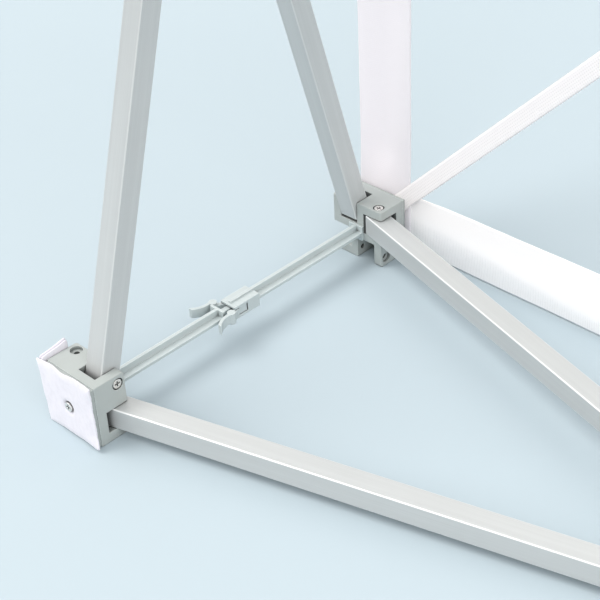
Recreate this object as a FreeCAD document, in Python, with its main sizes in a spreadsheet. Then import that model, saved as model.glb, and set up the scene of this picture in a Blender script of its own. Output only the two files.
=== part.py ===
import FreeCAD, Part
import Sketcher
import math
import os
import re
from types import SimpleNamespace

# Promotion counter: a pop-up scissor frame of one square cell, with a lift-off worktop.
# X runs along the counter, Y from front to rear, Z up. The origin is the centre of the
# bottom of the whole part, on the floor.

V = FreeCAD.Vector
NEAR = 1e-4
# A new constraint or circle has this size until its expression sets the real one
PLACEHOLDER = 1
doc = FreeCAD.newDocument("promotion_counter")

# Driving dimensions, in millimetres: value and what it measures
SIZES = {
    "hub_pitch": (926, "hub centre to hub centre, across and up"),
    "pivot_gap": (260, "front pivots to rear pivots, frame open"),
    "pivot_radius": (17, "hub centre to a tube pivot"),
    "tube_side": (16, "outside of the square tube"),
    "tube_wall": (1.2, "wall of the square tube"),
    "tube_corner": (1, "outside corner radius of the tube"),
    "tube_overhang": (6, "tube end beyond its pivot"),
    "tube_clearance": (0.3, "gap on each side of a tube in its socket"),
    "plug_length": (22, "end plug inside a tube"),
    "plug_clearance": (0.1, "gap between plug and tube"),
    "hub_side": (48, "side of the square hub"),
    "hub_plate": (10.5, "outer face of a hub to the bottom of its sockets"),
    "floor_room": (3.8, "bottom of a socket to a tube that lies along it"),
    "mouth_reach": (5.7, "pivots to the inner end of a hub"),
    "hub_pillar": (12.4, "side of the hub's square core"),
    "hub_corner": (2, "rounded inner corner of an ear"),
    "hub_edge": (0.6, "rounded edges on the hub's sides"),
    "rebate_depth": (3.2, "depth of the stepped edge round the outer face"),
    "rebate_inset": (0.9, "step of that edge"),
    "screw_shank": (4, "diameter of the hub screws"),
    "screw_head": (6.8, "head diameter"),
    "screw_head_height": (2.2, "head height"),
    "screw_room": (0.05, "radial gap round a screw or rivet"),
    "screw_bite": (5.2, "pivot screw into the hub's inner wall"),
    "counterbore": (8.8, "counterbore diameter for a screw head"),
    "counterbore_depth": (2.6, "counterbore depth"),
    "recess_width": (0.9, "width of the cross recess"),
    "recess_span": (4, "span of the cross recess"),
    "recess_depth": (1.3, "depth of the cross recess"),
    "centre_screw_length": (24, "centre screw, under its head"),
    "spigot": (7.2, "diameter of the tie rod's spigot in the hub"),
    "spigot_room": (0.1, "radial gap round the spigot"),
    "spigot_bore_depth": (14.5, "screw hole in the spigot"),
    "rivet": (5, "diameter of the middle rivet"),
    "rivet_head": (10, "rivet head diameter"),
    "rivet_head_height": (1.6, "rivet head height"),
    "rivet_room": (0.1, "rivet head to tube"),
    "washer": (13, "washer between crossing tubes"),
    "washer_thickness": (0.4, "its thickness"),
    "rod_height": (12, "height of the tie rod's upright web"),
    "rod_width": (13, "width of the tie rod's flat flange"),
    "rod_web": (2.4, "thickness of web and flange"),
    "rod_plate": (2, "end plates of the tie rods"),
    "tongue_plate_back": (20, "middle of the counter to the tongue rod's plate"),
    "tongue_width": (4, "width of the tongue"),
    "tongue_height": (5.2, "height of the tongue"),
    "tongue_drop": (0.8, "tongue centre below the rod centre"),
    "tongue_head_width": (6.6, "width of the tongue's head"),
    "tongue_shoulder": (1, "shoulder of the head behind the middle"),
    "tongue_reach": (5.4, "end of the tongue behind the middle"),
    "socket_front": (11.3, "front of the lock housing before the middle"),
    "socket_back": (12.7, "back of the lock housing behind the middle"),
    "socket_width": (14.5, "width of the lock housing"),
    "socket_top": (4.5, "top of the lock housing above the rod centre"),
    "socket_bottom": (5.9, "bottom of the lock housing below it"),
    "socket_wall": (1.5, "wall of the lock housing"),
    "socket_core": (4.5, "solid back end of the lock housing"),
    "window_back": (1.4, "rear end of the side windows behind the middle"),
    "window_room": (0.5, "gap above and below a lever in its window"),
    "ridge_start": (9.5, "front end of the ridge on the housing"),
    "lever_pivot_across": (5.65, "rod centre line to a lever pivot"),
    "lever_pivot_ahead": (8.6, "lever pivot before the middle"),
    "lever_pin": (2.4, "diameter of the lever's pin"),
    "lever_pin_room": (0.08, "radial gap round that pin"),
    "lever_barrel": (4.4, "diameter of the lever's barrel"),
    "lever_arm": (2.2, "thickness of the arm in the window"),
    "lever_tooth": (2.2, "reach of the tooth past the arm"),
    "lever_tooth_length": (3.4, "length of the tooth"),
    "lever_tooth_back": (0.4, "end of the tooth behind the middle"),
    "lever_top": (5, "top of a lever's finger tab"),
    "lever_bottom": (3.8, "bottom of a lever's round shoulder"),
    "tab_bottom": (2.4, "bottom of a lever's finger tab"),
    "lever_knob": (6, "diameter of the round shoulder"),
    "knob_across": (9.6, "rod centre line to the round shoulder"),
    "knob_ahead": (16.8, "round shoulder before the middle"),
    "tab_thickness": (2.2, "thickness of the curved finger tab"),
    "tab_curve": (17.2, "radius of the finger tab"),
    "tab_waist_across": (10.3, "rod centre line to the tab's waist"),
    "tab_waist_ahead": (21, "the tab's waist before the middle"),
    "tab_end": (33, "end of the tab before the middle"),
    "neck_width": (3, "neck between shoulder and barrel"),
    "tile_thickness": (1.5, "loop tile on a front hub"),
    "tile_lip": (0.5, "tile past the hub's inner side and top"),
    "tile_gap_below": (0.4, "tile's lower edge above the hub's bottom"),
    "flap_thickness": (4.5, "folded edge of the tile on the hub's side"),
    "flap_length": (22, "folded edge along the hub's side"),
    "flap_rise": (2.6, "folded edge above the hub's top"),
    "flap_room": (0.1, "folded edge to the hub"),
    "band_width": (49.5, "loop band across the rear"),
    "band_shift": (2.6, "band centre from the hub centre, towards the middle"),
    "band_thickness": (1, "thickness of a loop band"),
    "webbing_width": (14, "diagonal webbing"),
    "webbing_thickness": (0.6, "thickness of the webbing"),
    "webbing_tail": (20, "webbing past a hub centre"),
    "band_hole": (4.4, "screw hole in bands and webbing"),
    "side_overhang": (28, "worktop past the hubs at each end"),
    "front_overhang": (42.7, "worktop past the hubs in front and behind"),
    "worktop_thickness": (18, "worktop board"),
    "worktop_corner": (45, "plan radius of the worktop's corners"),
    "edging_thickness": (1.5, "edging round the worktop"),
    "pad_side": (38, "loop pad between worktop and hub"),
    "pad_thickness": (3, "thickness of that pad"),
    "overrun": (2, "cutters past the faces that they cut"),
}

sheet = doc.addObject("Spreadsheet::Sheet", "dims")
for row, (alias, (number, note)) in enumerate(SIZES.items(), start=1):
    sheet.set(f"A{row}", alias)
    sheet.set(f"B{row}", str(number))
    sheet.setAlias(f"B{row}", alias)
    sheet.set(f"C{row}", note)
doc.recompute()
mm = SimpleNamespace(**{alias: float(sheet.get(alias)) for alias in SIZES})

# Sizes worked out from the driving ones, as text for the document's expressions
SOCKET_WIDTH = "(tube_side + 2 * tube_clearance)"
TUBE_SPAN = "sqrt((hub_pitch - 2 * pivot_radius) ^ 2 + pivot_gap ^ 2)"
PIVOT_DEPTH = "(hub_plate + floor_room + tube_side / 2)"
HUB_DEPTH = f"({PIVOT_DEPTH} + mouth_reach)"
FACE_REACH = f"(pivot_gap / 2 + {PIVOT_DEPTH})"
ROD_START = f"({FACE_REACH} - {HUB_DEPTH})"
WORKTOP_REACH = "(hub_pitch / 2 + hub_side / 2 + side_overhang)"
WORKTOP_DEPTH = f"({FACE_REACH} + front_overhang)"
WINDOW_TOP = "(socket_top - socket_wall - window_room)"
WINDOW_BOTTOM = "(socket_bottom - socket_wall - window_room)"

# The same, as numbers for the places of whole pieces
pivot_depth = mm.hub_plate + mm.floor_room + mm.tube_side / 2
hub_depth = pivot_depth + mm.mouth_reach
face_reach = mm.pivot_gap / 2 + pivot_depth
socket_middle = mm.tube_side / 2 + mm.tube_clearance
pivot_span = mm.hub_pitch - 2 * mm.pivot_radius
open_angle = math.degrees(math.atan2(mm.pivot_gap, pivot_span))
low_level = mm.hub_side / 2
high_level = low_level + mm.hub_pitch
frame_top = high_level + mm.hub_side / 2

nodes = []


# Document helpers

def on_sheet(text):
    """Give an expression its sheet name in front of every alias."""
    return re.sub(r"[a-z][a-z_]*", lambda word: "dims." + word.group(0)
                  if word.group(0) in SIZES else word.group(0), text)


def bind(item, **expressions):
    for prop, text in expressions.items():
        item.setExpression(prop.replace("_base_", "Placement.Base."), on_sheet(text))


def box(name, across, along, up):
    """A box from three pairs of expressions, low and high, along X, Y and Z."""
    item = doc.addObject("Part::Box", name)
    (x0, x1), (y0, y1), (z0, z1) = across, along, up
    bind(item, Length=f"({x1}) - ({x0})", Width=f"({y1}) - ({y0})", Height=f"({z1}) - ({z0})",
         _base_x=x0, _base_y=y0, _base_z=z0)
    return item


TURNS = {
    "x": FreeCAD.Rotation(V(0, 0, 1), V(1, 0, 0)),
    "y": FreeCAD.Rotation(V(0, 0, 1), V(0, 1, 0)),
    "z": FreeCAD.Rotation(),
}


def rod(name, axis, start, end, centre, diameter):
    """A cylinder along one axis; centre gives the other two places in X, Y, Z order."""
    item = doc.addObject("Part::Cylinder", name)
    item.Placement = FreeCAD.Placement(V(), TURNS[axis])
    places = dict(zip([letter for letter in "xyz" if letter != axis], centre))
    places[axis] = start
    bind(item, Radius=f"({diameter}) / 2", Height=f"({end}) - ({start})",
         _base_x=places["x"], _base_y=places["y"], _base_z=places["z"])
    return item


def fuse(name, items):
    item = doc.addObject("Part::MultiFuse", name)
    item.Shapes = items
    return item


def cut(name, base, tools):
    item = doc.addObject("Part::Cut", name)
    item.Base = base
    item.Tool = tools[0] if len(tools) == 1 else fuse(name + "_tools", tools)
    return item


def group(name, items):
    item = doc.addObject("Part::Compound", name)
    item.Links = items
    return item


def node(label, item, placement=None):
    """Name an object as a sub-part of the counter and put it in its place."""
    item.Label = label
    if placement is not None:
        item.Placement = placement
    nodes.append(item)


def mirrored(side, low, high):
    """A pair of X expressions, on the +X side for 1 and the -X side for -1."""
    return (low, high) if side > 0 else (f"-({high})", f"-({low})")


def mirrored_point(side, across, along):
    """A point's X and Y expressions, on the +X side for 1 and the -X side for -1."""
    return (across if side > 0 else f"-({across})", along)


# Sketch helpers for the bodies

def plane(body, role):
    return [item for item in body.Origin.OriginFeatures if item.Role == role][0]


def new_sketch(body, name, role, offset="0"):
    sketch = body.newObject("Sketcher::SketchObject", name)
    sketch.AttachmentSupport = [(plane(body, role), "")]
    sketch.MapMode = "FlatFace"
    sketch.setExpression("AttachmentOffset.Base.z", on_sheet(offset))
    return sketch


def fix_point(sketch, geometry, end, across, up):
    """Tie a point of the sketch to two expressions measured from the origin."""
    for kind, text in (("DistanceX", across), ("DistanceY", up)):
        distance = Sketcher.Constraint(kind, -1, 1, geometry, end, float(PLACEHOLDER))
        index = sketch.addConstraint(distance)
        sketch.setExpression(f"Constraints[{index}]", on_sheet(text))


def add_rectangle(sketch, left, right, low, high):
    first = sketch.GeometryCount
    corners = [V(0, 0), V(1, 0), V(1, 1), V(0, 1)]
    for index in range(4):
        sketch.addGeometry(Part.LineSegment(corners[index], corners[(index + 1) % 4]))
    for index in range(4):
        following = first + (index + 1) % 4
        sketch.addConstraint(Sketcher.Constraint("Coincident", first + index, 2, following, 1))
    for index in (0, 2):
        sketch.addConstraint(Sketcher.Constraint("Horizontal", first + index))
        sketch.addConstraint(Sketcher.Constraint("Vertical", first + index + 1))
    fix_point(sketch, first, 1, left, low)
    fix_point(sketch, first + 2, 1, right, high)


def add_circle(sketch, across, up, diameter):
    index = sketch.addGeometry(Part.Circle(V(1, 1), V(0, 0, 1), PLACEHOLDER))
    fix_point(sketch, index, 3, across, up)
    size = sketch.addConstraint(Sketcher.Constraint("Diameter", index, 2 * float(PLACEHOLDER)))
    sketch.setExpression(f"Constraints[{size}]", on_sheet(diameter))


def add_feature(body, kind, name, sketch, **settings):
    """A pad or pocket of a sketch; text settings are expressions, the rest are values."""
    feature = body.newObject("PartDesign::" + kind, name)
    feature.Profile = sketch
    for prop, setting in settings.items():
        if isinstance(setting, str):
            feature.setExpression(prop, on_sheet(setting))
        else:
            setattr(feature, prop, setting)
    return feature


def round_edges(body, name, base, radius, chosen):
    """Round the edges of the base feature that the function chosen picks."""
    doc.recompute()
    edges = [f"Edge{index}" for index, edge in enumerate(base.Shape.Edges, start=1) if chosen(edge)]
    fillet = body.newObject("PartDesign::Fillet", name)
    fillet.Base = (base, edges)
    fillet.setExpression("Radius", on_sheet(radius))
    body.Tip = fillet
    return fillet


def add_pinwheel(body, name, originals):
    """Repeat features at the four quarter turns about the hub's own Y axis."""
    pattern = body.newObject("PartDesign::PolarPattern", name)
    pattern.Originals = originals
    pattern.Axis = (plane(body, "Y_Axis"), [""])
    pattern.Angle = 360
    pattern.Occurrences = 4
    body.Tip = pattern
    return pattern


def close(first, second):
    return abs(first - second) < NEAR


def runs_along(edge, direction):
    """True for a straight edge along the direction."""
    if not isinstance(edge.Curve, Part.Line):
        return False
    return close(abs(edge.tangentAt(edge.FirstParameter).dot(direction)), 1)


# Hubs: a square block with four sockets in a pinwheel. Local frame: the origin is the
# centre of the outer face, Y points into the counter.

def make_hub(name):
    body = doc.addObject("PartDesign::Body", name)
    half = "hub_side / 2"
    inset = f"({half} - rebate_inset)"
    side_place = mm.hub_side / 2
    ear = side_place - mm.tube_side - 2 * mm.tube_clearance
    face = new_sketch(body, name + "_face", "XZ_Plane")
    add_rectangle(face, f"-{inset}", inset, f"-{inset}", inset)
    add_feature(body, "Pad", name + "_step", face, Length="rebate_depth", Reversed=True)
    outline = new_sketch(body, name + "_outline", "XZ_Plane", "-rebate_depth")
    add_rectangle(outline, f"-({half})", half, f"-({half})", half)
    add_feature(body, "Pad", name + "_block", outline,
                Length=f"{HUB_DEPTH} - rebate_depth", Reversed=True)
    mouth = new_sketch(body, name + "_socket_sketch", "XZ_Plane", "-hub_plate")
    add_rectangle(mouth, "0", SOCKET_WIDTH, "hub_pillar / 2", f"{half} + overrun")
    socket = add_feature(body, "Pocket", name + "_socket", mouth,
                         Length=f"{HUB_DEPTH} - hub_plate + overrun")
    sockets =add_pinwheel(body, name + "_sockets", [socket])

    def free_ear_corner(edge):
        span = edge.BoundBox
        at_end = close(span.YMin, hub_depth) and close(span.YMax, hub_depth)
        reach = max(abs(span.Center.x), abs(span.Center.z))
        return at_end and close(reach, side_place) and edge.Length < ear + NEAR

    def on_a_side(edge):
        span = edge.BoundBox
        flat = [close(abs(low), side_place) and close(low, high)
                for low, high in ((span.XMin, span.XMax), (span.ZMin, span.ZMax))]
        return any(flat) and span.YMin > mm.rebate_depth + NEAR

    ears = round_edges(body, name + "_ear_corners", sockets, "hub_corner", free_ear_corner)
    round_edges(body, name + "_side_edges", ears, "hub_edge", on_a_side)

    bore_sketch = new_sketch(body, name + "_bore_sketch", "YZ_Plane", half)
    add_circle(bore_sketch, PIVOT_DEPTH, "pivot_radius", "screw_shank + 2 * screw_room")
    bore = add_feature(body, "Pocket", name + "_bore", bore_sketch,
                       Length=f"{half} + screw_bite + screw_room")
    head_sketch = new_sketch(body, name + "_counterbore_sketch", "YZ_Plane", half)
    add_circle(head_sketch, PIVOT_DEPTH, "pivot_radius", "counterbore")
    head = add_feature(body, "Pocket", name + "_counterbore", head_sketch,
                       Length="counterbore_depth")
    add_pinwheel(body, name + "_screw_holes", [bore, head])

    centre_sketch = new_sketch(body, name + "_centre_sketch", "XZ_Plane")
    add_circle(centre_sketch, "0", "0", "screw_shank + 2 * screw_room")
    add_feature(body, "Pocket", name + "_centre_bore", centre_sketch, Length="hub_plate + overrun")
    spigot_sketch = new_sketch(body, name + "_spigot_sketch", "XZ_Plane", "-hub_plate")
    add_circle(spigot_sketch, "0", "0", "spigot + 2 * spigot_room")
    add_feature(body, "Pocket", name + "_spigot_bore", spigot_sketch,
                Length=f"{HUB_DEPTH} - hub_plate + overrun")
    return body


# Screws, each along Y from its head at Y = 0 into +Y, or along -X for a pivot screw

def make_screw(name, length):
    """A cross-recessed screw whose shank starts just inside its head."""
    head = rod(name + "_head", "y", "-screw_head_height", "0", ("0", "0"), "screw_head")
    shank = rod(name + "_shank", "y", "-recess_depth / 4", length, ("0", "0"), "screw_shank")
    slot_depth = ("-screw_head_height - overrun", "recess_depth - screw_head_height")
    half_slot = ("-recess_width / 2", "recess_width / 2")
    half_span = ("-recess_span / 2", "recess_span / 2")
    level = box(name + "_level", half_span, slot_depth, half_slot)
    upright = box(name + "_upright", half_slot, slot_depth, half_span)
    return cut(name, fuse(name + "_blank", [head, shank]), [level, upright])


def corner_placement(corner):
    """Where the local frame of a hub stands in the counter."""
    depth, height, side = corner
    turn = FreeCAD.Rotation(V(0, 0, 1), 0 if depth == "front" else 180)
    place = V(mm.hub_pitch / 2 * (1 if side == "right" else -1),
              face_reach * (-1 if depth == "front" else 1),
              high_level if height == "top" else low_level)
    return FreeCAD.Placement(place, turn)


# Tubes that each hub holds, as quarter turns of its pinwheel: 0 up, 1 right, 2 down, 3 left,
# seen from outside the counter
TUBE_SOCKETS = {
    ("front", "bottom", "left"): (0, 1),
    ("front", "bottom", "right"): (0, 3),
    ("front", "top", "left"): (1, 2),
    ("front", "top", "right"): (2, 3),
    ("rear", "bottom", "left"): (0, 3),
    ("rear", "bottom", "right"): (0, 1),
    ("rear", "top", "left"): (2, 3),
    ("rear", "top", "right"): (1, 2),
}
CORNERS = list(TUBE_SOCKETS)
BAND_STACK = "(2 * webbing_thickness + 2 * band_thickness)"
band_stack = 2 * mm.webbing_thickness + 2 * mm.band_thickness


def make_hub_screws(name, corner):
    """Two pivot screws and the centre screw of one hub."""
    screws = []
    pivot_length = "hub_side / 2 - counterbore_depth + screw_bite"
    head_out = V(mm.hub_side / 2 - mm.counterbore_depth, pivot_depth, mm.pivot_radius)
    for turns in TUBE_SOCKETS[corner]:
        screw = make_screw(f"{name}_pivot{turns}", pivot_length)
        inward = FreeCAD.Placement(head_out, FreeCAD.Rotation(V(0, 1, 0), V(-1, 0, 0)))
        pinwheel_turn = FreeCAD.Placement(V(), FreeCAD.Rotation(V(0, 1, 0), 90 * turns))
        screw.Placement = pinwheel_turn.multiply(inward)
        screws.append(screw)
    centre = make_screw(name + "_centre", "centre_screw_length")
    centre.Placement = FreeCAD.Placement(V(0, 0 if corner[0] == "front" else -band_stack, 0),
                                         FreeCAD.Rotation())
    return group(name, screws + [centre])


for corner in CORNERS:
    title = "_".join(corner)
    node(title + "_hub", make_hub("hub_" + title), corner_placement(corner))
    node(title + "_hub_screws", make_hub_screws("screws_" + title, corner), corner_placement(corner))


# Tubes. Local frame: the first pivot is the origin, X runs along the tube, Z along the pivots.

def make_tube(name):
    body = doc.addObject("PartDesign::Body", name + "_profile")
    half = "tube_side / 2"
    inner = "(tube_side / 2 - tube_wall)"
    section = new_sketch(body, name + "_section", "YZ_Plane", "-tube_overhang")
    add_rectangle(section, f"-{half}", half, f"-{half}", half)
    add_rectangle(section, f"-{inner}", inner, f"-{inner}", inner)
    profile = add_feature(body, "Pad", name + "_length", section,
                          Length=f"{TUBE_SPAN} + 2 * tube_overhang")
    outside = mm.tube_side / 2 - NEAR
    round_edges(body, name + "_corners", profile, "tube_corner",
                lambda edge: runs_along(edge, V(1, 0, 0)) and abs(edge.BoundBox.YMin) > outside)
    holes = new_sketch(body, name + "_hole_sketch", "XY_Plane", f"{half} + overrun")
    add_circle(holes, "0", "0", "screw_shank + 2 * screw_room")
    add_circle(holes, TUBE_SPAN, "0", "screw_shank + 2 * screw_room")
    add_circle(holes, f"{TUBE_SPAN} / 2", "0", "rivet + 2 * screw_room")
    add_feature(body, "Pocket", name + "_holes", holes, Length="tube_side + 2 * overrun")
    plugs = []
    for end, start in (("near", "-tube_overhang"), ("far", f"{TUBE_SPAN} + tube_overhang - plug_length")):
        core = f"({inner} - plug_clearance)"
        blank = box(f"{name}_{end}_block", (start, f"({start}) + plug_length"),
                    (f"-{core}", core), (f"-{core}", core))
        pivot = "0" if end == "near" else TUBE_SPAN
        bore = rod(f"{name}_{end}_bore", "z", f"-{half}", half, (pivot, "0"),
                   "screw_shank + 2 * screw_room")
        plugs.append(cut(f"{name}_{end}_plug", blank, [bore]))
    return group(name, [body] + plugs)


def tube_placement(start, along, pivot_axis):
    """Put a tube's first pivot at start, with its length and its pivots along two directions."""
    third = pivot_axis.cross(along)
    return FreeCAD.Placement(start, FreeCAD.Rotation(along, third, pivot_axis, "XZY"))


slope = math.radians(open_angle)
left_hub = -mm.hub_pitch / 2
right_hub = mm.hub_pitch / 2
near_row = -mm.pivot_gap / 2
far_row = mm.pivot_gap / 2


def level_tube(height, from_front):
    """A bottom or top tube, from a left hub to the right hub of the other row."""
    rise = 1 if from_front else -1
    start = V(left_hub + mm.pivot_radius, near_row if from_front else far_row,
              height - rise * socket_middle)
    return tube_placement(start, V(math.cos(slope), rise * math.sin(slope), 0), V(0, 0, 1))


def upright_tube(side, from_front):
    """A left or right tube, from a bottom hub to the top hub of the other row."""
    rise = 1 if from_front else -1
    start = V(side + rise * socket_middle, near_row if from_front else far_row,
              low_level + mm.pivot_radius)
    return tube_placement(start, V(0, rise * math.sin(slope), math.cos(slope)), V(1, 0, 0))


TUBES = {
    "bottom_front_left_tube": level_tube(low_level, True),
    "bottom_rear_left_tube": level_tube(low_level, False),
    "left_front_bottom_tube": upright_tube(left_hub, True),
    "left_rear_bottom_tube": upright_tube(left_hub, False),
    "right_front_bottom_tube": upright_tube(right_hub, True),
    "right_rear_bottom_tube": upright_tube(right_hub, False),
    "top_front_left_tube": level_tube(high_level, True),
    "top_rear_left_tube": level_tube(high_level, False),
}
for title, placement in TUBES.items():
    node(title, make_tube("make_" + title), placement)


# Middle rivets: pin, two heads and the washer between the crossing tubes, along Z

def make_rivet(name):
    outer = "(tube_side + tube_clearance + rivet_room)"
    top = f"{outer} + rivet_head_height"
    pin = rod(name + "_pin", "z", f"-{outer}", outer, ("0", "0"), "rivet")
    heads = [rod(name + "_head", "z", outer, top, ("0", "0"), "rivet_head"),
             rod(name + "_tail", "z", f"-({top})", f"-{outer}", ("0", "0"), "rivet_head")]
    ring = rod(name + "_ring", "z", "-washer_thickness / 2", "washer_thickness / 2",
               ("0", "0"), "washer")
    eye = rod(name + "_eye", "z", "-washer_thickness", "washer_thickness", ("0", "0"),
              "rivet + 2 * screw_room")
    return group(name, [fuse(name + "_body", [pin] + heads), cut(name + "_washer", ring, [eye])])


across_turn = FreeCAD.Rotation(V(0, 0, 1), V(1, 0, 0))
middle_level = (low_level + high_level) / 2
RIVETS = {
    "bottom_rivet": FreeCAD.Placement(V(0, 0, low_level), FreeCAD.Rotation()),
    "top_rivet": FreeCAD.Placement(V(0, 0, high_level), FreeCAD.Rotation()),
    "left_rivet": FreeCAD.Placement(V(left_hub, 0, middle_level), across_turn),
    "right_rivet": FreeCAD.Placement(V(right_hub, 0, middle_level), across_turn),
}
for title, placement in RIVETS.items():
    node(title, make_rivet("make_" + title), placement)


# Tie rods. Local frame: the origin is on the rod's centre line, halfway between the hubs.

def crossed_bar(name, start, end):
    """The plus-shaped bar of a tie rod, as an upright web and a flat flange."""
    web = box(name + "_web", ("-rod_web / 2", "rod_web / 2"), (start, end),
              ("-rod_height / 2", "rod_height / 2"))
    flange = box(name + "_flange", ("-rod_width / 2", "rod_width / 2"), (start, end),
                 ("-rod_web / 2", "rod_web / 2"))
    return [web, flange]


def end_plate(name, start, end):
    return box(name, ("-rod_width / 2", "rod_width / 2"), (start, end),
               ("-rod_height / 2", "rod_height / 2"))


def hub_end(name, toward):
    """The plate and the bored spigot where a rod stands on its hub; toward is -1 for the front."""
    face = f"{ROD_START}"
    tip = f"({face} + {HUB_DEPTH} - hub_plate - spigot_room)"
    bore_end = f"({face} + {HUB_DEPTH} - hub_plate - spigot_bore_depth)"
    pairs = [(f"{face} - rod_plate", face), (face, tip), (bore_end, f"{tip} + overrun")]
    if toward < 0:
        pairs = [(f"-({high})", f"-({low})") for low, high in pairs]
    plate = end_plate(name + "_plate", *pairs[0])
    spigot = rod(name + "_spigot", "y", *pairs[1], ("0", "0"), "spigot")
    bore = rod(name + "_bore", "y", *pairs[2], ("0", "0"), "screw_shank + 2 * screw_room")
    return [plate, spigot], bore


def make_tongue_rod(name):
    """Front half: the bar, its cross plate and the tongue with its wider head."""
    hub_parts, bore = hub_end(name, -1)
    plate_front = "-tongue_plate_back - rod_plate"
    low = "-tongue_drop - tongue_height / 2"
    high = "tongue_height / 2 - tongue_drop"
    plate = end_plate(name + "_cross", plate_front, "-tongue_plate_back")
    tongue = box(name + "_tongue", ("-tongue_width / 2", "tongue_width / 2"),
                 ("-tongue_plate_back", "tongue_reach"), (low, high))
    tip = doc.addObject("Part::Wedge", name + "_tip")
    bind(tip, Xmin="-tongue_head_width / 2", Xmax="tongue_head_width / 2", Ymin="tongue_shoulder",
         Ymax="tongue_reach", Zmin=low, Zmax=high, X2min="-tongue_width / 2",
         X2max="tongue_width / 2", Z2min=low, Z2max=high)
    bar = crossed_bar(name, f"-({ROD_START} - rod_plate)", plate_front)
    return cut(name, fuse(name + "_blank", bar + hub_parts + [plate, tongue, tip]), [bore])


def make_socket_rod(name):
    """Rear half: the bar and the lock housing, open in front, with a window on each side."""
    hub_parts, bore = hub_end(name, 1)
    half = "socket_width / 2"
    back = "(socket_back - socket_core)"
    ceiling = "(socket_top - socket_wall)"
    floor = "(socket_bottom - socket_wall)"
    housing = box(name + "_housing", (f"-{half}", half), ("-socket_front", "socket_back"),
                  ("-socket_bottom", "socket_top"))
    ridge = box(name + "_ridge", ("-rod_web / 2", "rod_web / 2"), ("-ridge_start", "socket_back"),
                ("socket_top - socket_wall / 2", "rod_height / 2"))
    cavity = box(name + "_cavity", (f"socket_wall - {half}", f"{half} - socket_wall"),
                 ("-socket_front - overrun", back), (f"-{floor}", ceiling))
    windows = box(name + "_windows", (f"-{half} - overrun", f"{half} + overrun"),
                  ("-socket_front - overrun", "window_back"), (f"-{WINDOW_BOTTOM}", WINDOW_TOP))
    pin_holes = [rod(f"{name}_pin_hole_{side + 1}", "z", "-socket_bottom - overrun",
                     "socket_top + overrun",
                     mirrored_point(side, "lever_pivot_across", "-lever_pivot_ahead"),
                     "lever_pin + 2 * lever_pin_room") for side in (-1, 1)]
    bar = crossed_bar(name, "socket_back", f"{ROD_START} - rod_plate")
    shell = cut(name + "_shell", fuse(name + "_block", [housing, ridge]),
                [cavity, windows] + pin_holes)
    return cut(name, fuse(name + "_blank", bar + hub_parts + [shell]), [bore])


# Release levers: seesaws in the windows of the lock housing, mirrored left and right

def make_lever(name, side):
    """Barrel, arm, tooth and pin at window height, with a taller round shoulder and finger tab."""
    low, high = f"window_room - {WINDOW_BOTTOM}", f"{WINDOW_TOP} - window_room"
    pivot = mirrored_point(side, "lever_pivot_across", "-lever_pivot_ahead")
    knob_place = mirrored_point(side, "knob_across", "-knob_ahead")
    arm_outside = "(lever_pivot_across + lever_arm / 2)"
    arm_inside = "(lever_pivot_across - lever_arm / 2)"
    window = (low, high)
    barrel = rod(name + "_barrel", "z", low, high, pivot, "lever_barrel")
    pin = rod(name + "_pin", "z", "-socket_bottom", "socket_top", pivot, "lever_pin")
    arm = box(name + "_arm", mirrored(side, arm_inside, arm_outside),
              ("-lever_pivot_ahead", "lever_tooth_back"), window)
    tooth = box(name + "_tooth", mirrored(side, f"{arm_inside} - lever_tooth", arm_inside),
                ("lever_tooth_back - lever_tooth_length", "lever_tooth_back"), window)
    knob = rod(name + "_knob", "z", "-lever_bottom", "lever_top", knob_place, "lever_knob")

    neck_run = V(mm.knob_across - mm.lever_pivot_across, mm.lever_pivot_ahead - mm.knob_ahead)
    neck_lean = math.degrees(math.atan2(neck_run.x, -neck_run.y)) * side
    neck = doc.addObject("Part::Box", name + "_neck")
    bind(neck, Length="neck_width", Height=f"({high}) - ({low})",
         Width="sqrt((knob_across - lever_pivot_across) ^ 2 + (knob_ahead - lever_pivot_ahead) ^ 2)")
    neck_turn = FreeCAD.Rotation(V(0, 0, 1), 180 + neck_lean)
    neck_start = V(side * mm.lever_pivot_across, -mm.lever_pivot_ahead, 0)
    window_low = mm.window_room - (mm.socket_bottom - mm.socket_wall - mm.window_room)
    neck.Placement = FreeCAD.Placement(
        neck_start + neck_turn.multVec(V(-mm.neck_width / 2, 0, window_low)), neck_turn)

    curve_centre = mirrored_point(side, "tab_waist_across + tab_curve", "-tab_waist_ahead")
    tall = ("-tab_bottom", "lever_top")
    outer = rod(name + "_outer", "z", *tall, curve_centre, "2 * tab_curve + tab_thickness")
    inner = rod(name + "_inner", "z", *tall, curve_centre, "2 * tab_curve - tab_thickness")
    reach = box(name + "_reach", mirrored(side, "tab_waist_across - tab_thickness",
                                          "tab_waist_across + tab_curve"),
                ("-tab_end", "-knob_ahead"), tall)
    tab = doc.addObject("Part::Common", name + "_tab")
    tab.Base = cut(name + "_ring", outer, [inner])
    tab.Tool = reach
    return fuse(name, [barrel, pin, arm, tooth, knob, neck, tab])


for height, level in (("bottom", low_level), ("top", high_level)):
    for side, place in (("left", left_hub), ("right", right_hub)):
        title = f"{height}_{side}"
        lock_centre = FreeCAD.Placement(V(place, 0, level), FreeCAD.Rotation())
        node(title + "_tongue_rod", make_tongue_rod("tongue_" + title), lock_centre)
        node(title + "_socket_rod", make_socket_rod("socket_" + title), lock_centre)
        for hand, sign in (("left", -1), ("right", 1)):
            node(f"{title}_lock_{hand}_lever", make_lever(f"lever_{title}_{hand}", sign), lock_centre)


# Loop tiles on the front hubs, in the hub's local frame, with the folded edge on the outside

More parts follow.
